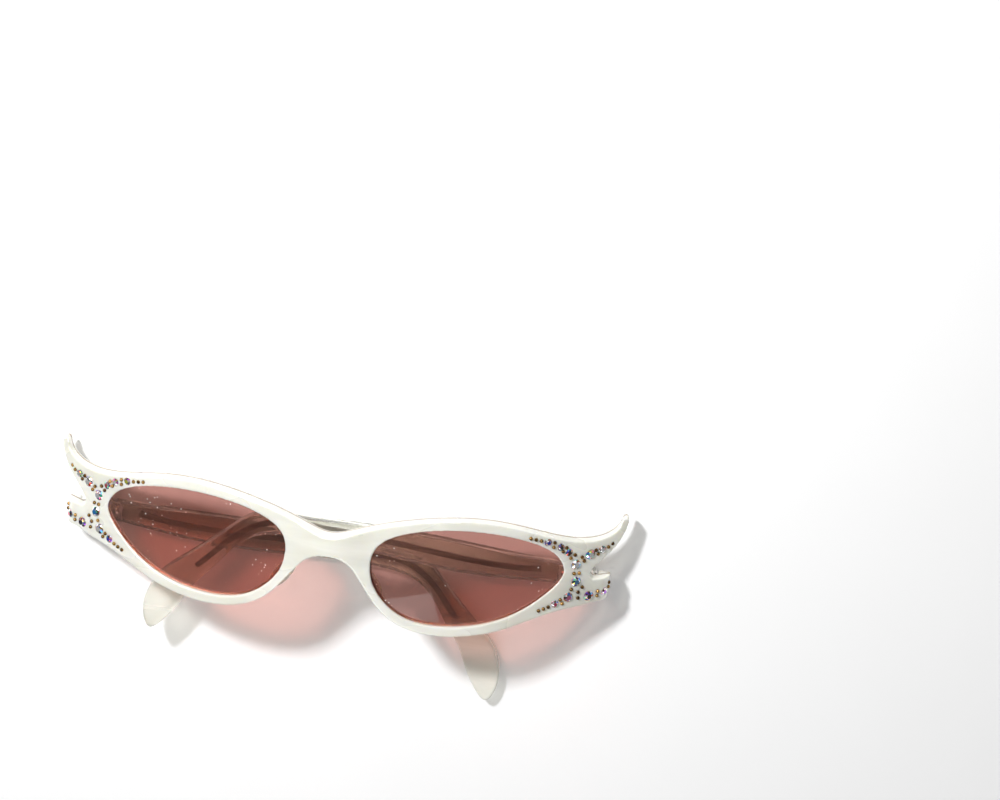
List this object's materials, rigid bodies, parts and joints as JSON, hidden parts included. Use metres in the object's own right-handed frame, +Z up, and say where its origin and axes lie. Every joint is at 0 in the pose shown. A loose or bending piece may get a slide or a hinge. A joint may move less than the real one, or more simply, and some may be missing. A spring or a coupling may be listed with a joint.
{
  "type": "cat eye sunglasses",
  "caption": "Winged cat eye sunglasses with tinted oval lenses, stone and bead trim by the hinges, and two folding temples.",
  "frame": {"origin": "centre of the bounding box, on the surface that the folded glasses lie on", "axes": "+X along the front, from the temple seen on the left to the one on the right, +Y towards the brow, +Z up out of the front face of the lenses"},
  "size_m": [0.153, 0.0622, 0.0368],
  "materials": {
    "pearl_acetate": "gloss, pearlised and slightly translucent",
    "tinted_lens": "gloss, rose brown tint",
    "cut_crystal": "faceted, iridescent coating",
    "gold_bead": "polished",
    "hinge_steel": "bright satin"
  },
  "bodies": {
    "front": {"front_frame": "pearl_acetate", "gold_beads_left": "gold_bead", "gold_beads_right": "gold_bead", "hinge_front_leaf_left": "hinge_steel", "hinge_front_leaf_right": "hinge_steel", "hinge_screw_left": "hinge_steel", "hinge_screw_right": "hinge_steel", "lens_left": "tinted_lens", "lens_right": "tinted_lens", "nose_pad_left": "pearl_acetate", "nose_pad_right": "pearl_acetate", "rhinestones_large_left": "cut_crystal", "rhinestones_large_right": "cut_crystal", "rhinestones_small_left": "cut_crystal", "rhinestones_small_right": "cut_crystal"},
    "temple_left": {"temple_left": "pearl_acetate", "temple_core_left": "hinge_steel", "hinge_temple_leaf_left": "hinge_steel", "temple_rivets_left": "hinge_steel"},
    "temple_right": {"temple_right": "pearl_acetate", "temple_core_right": "hinge_steel", "hinge_temple_leaf_right": "hinge_steel", "temple_rivets_right": "hinge_steel"}
  },
  "joints": [
    {"name": "right_temple_hinge", "type": "hinge", "parent": "front", "child": "temple_right", "pos_m": [0.06904, 0.00947, 0.00556], "axis": [-0.0698, -0.9976, 0], "range_deg": [0, 95]},
    {"name": "left_temple_hinge", "type": "hinge", "parent": "front", "child": "temple_left", "pos_m": [-0.06904, 0.00947, 0.00556], "axis": [0.0349, 0.9994, 0], "range_deg": [0, 90]}
  ]
}
